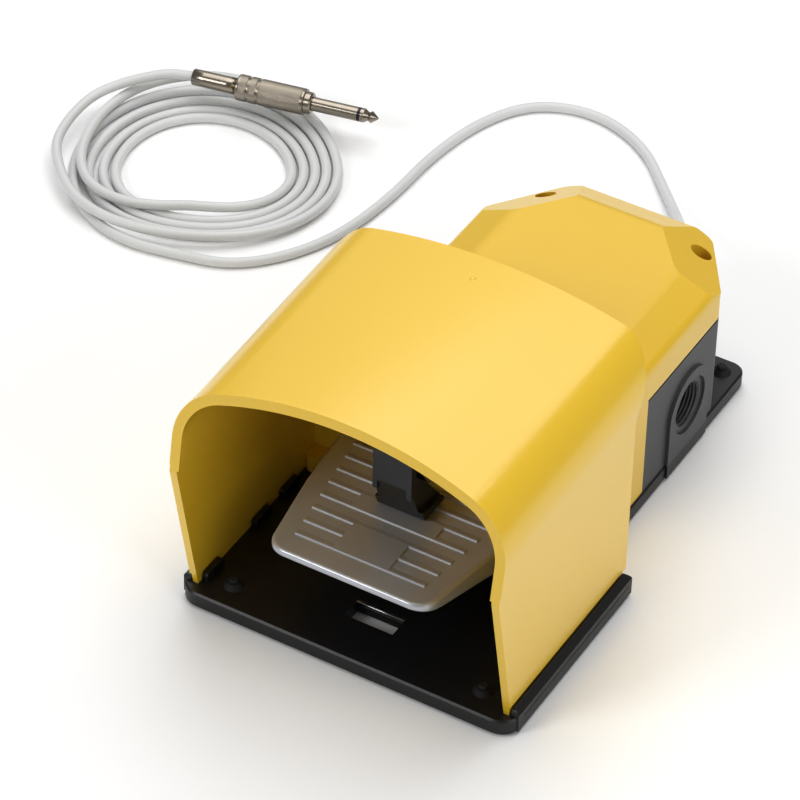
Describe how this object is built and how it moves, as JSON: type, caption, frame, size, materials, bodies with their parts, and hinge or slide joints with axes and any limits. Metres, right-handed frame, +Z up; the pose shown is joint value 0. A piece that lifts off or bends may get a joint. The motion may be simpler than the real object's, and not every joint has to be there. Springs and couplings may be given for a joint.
{
  "type": "industrial foot switch",
  "caption": "Foot switch with a hooded pedal, a hanging safety lever, a closed contact housing and a signal cord ending in a jack plug.",
  "frame": {"origin": "centre of the object's footprint on the floor, without its cord", "axes": "+Z up, +Y from the hood's mouth towards the cable gland, +X to the right when facing the mouth from the front"},
  "size_m": [0.3575, 0.3721, 0.1252],
  "materials": {
    "black_base": "moulded glass-filled polyamide, black",
    "black_housing": "spark-textured polyamide, dark grey",
    "yellow_hood": "glossy moulded ABS, signal yellow",
    "yellow_cover": "glossy moulded ABS, signal yellow",
    "pedal_metal": "painted die-cast aluminium, silver grey",
    "lever_black": "black acetal",
    "bright_steel": "polished steel",
    "zinc_screw": "zinc-plated steel, passivated",
    "spring_steel": "oil-tempered spring wire",
    "bush_white": "natural acetal",
    "contact_case": "phenolic moulding",
    "plunger_white": "natural polyamide",
    "rubber": "black nitrile rubber",
    "gland_grey": "grey polyamide",
    "cord_pvc": "light grey PVC sheath",
    "nickel": "bright nickel plate",
    "insulator": "black insulating ring"
  },
  "bodies": {
    "base": {"base_plate": "black_base", "catch_strip": "bright_steel", "rubber_feet": "rubber", "hood": "yellow_hood", "housing": "black_housing", "cover_gasket": "rubber", "cover": "yellow_cover", "cover_screws": "zinc_screw", "hood_base_screws": "zinc_screw", "housing_screws": "zinc_screw", "hood_back_screws": "zinc_screw", "shaft_bushes": "bush_white", "contact_block_left": "contact_case", "contact_block_right": "contact_case", "plunger_seals": "rubber", "terminal_screws": "zinc_screw", "return_spring": "spring_steel", "lever_pin": "bright_steel", "lever_spring": "spring_steel", "gland_body": "gland_grey", "gland_locknut": "gland_grey", "gland_seal": "rubber", "gland_nut": "gland_grey", "cord": "cord_pvc", "cord_coil": "cord_pvc", "plug_relief": "nickel", "plug_barrel": "nickel", "plug_sleeve": "nickel", "plug_ring": "insulator", "plug_tip": "nickel"},
    "pedal": {"pedal": "pedal_metal", "pedal_shaft": "bright_steel", "retaining_rings": "spring_steel", "actuator_arm": "bright_steel", "arm_screws": "zinc_screw"},
    "safety_lever": {"safety_lever": "lever_black", "latch_roller": "bright_steel"},
    "plunger_left": {"plunger_left": "plunger_white"},
    "plunger_right": {"plunger_right": "plunger_white"}
  },
  "joints": [
    {"name": "pedal_press", "type": "hinge", "parent": "base", "child": "pedal", "pos_m": [0, 0.004, 0.0315], "axis": [1, 0, 0], "range_deg": [0, 12], "stiffness_Nm_per_rad": 3, "springref_deg": -28.65, "deforming": ["return_spring"]},
    {"name": "lever_swing", "type": "hinge", "parent": "base", "child": "safety_lever", "pos_m": [0, -0.082, 0.1135], "axis": [1, 0, 0], "range_deg": [0, 18], "stiffness_Nm_per_rad": 0.1, "springref_deg": -34.38},
    {"name": "plunger_push_left", "type": "slide", "parent": "base", "child": "plunger_left", "axis": [0, 1, 0], "range_m": [0, 0.0034]},
    {"name": "plunger_push_right", "type": "slide", "parent": "base", "child": "plunger_right", "axis": [0, 1, 0], "range_m": [0, 0.0034]}
  ],
  "couplings": [
    {"joint": "plunger_push_left", "follows": "pedal_press", "m_per_rad": 0.016},
    {"joint": "plunger_push_right", "follows": "pedal_press", "m_per_rad": 0.016}
  ]
}
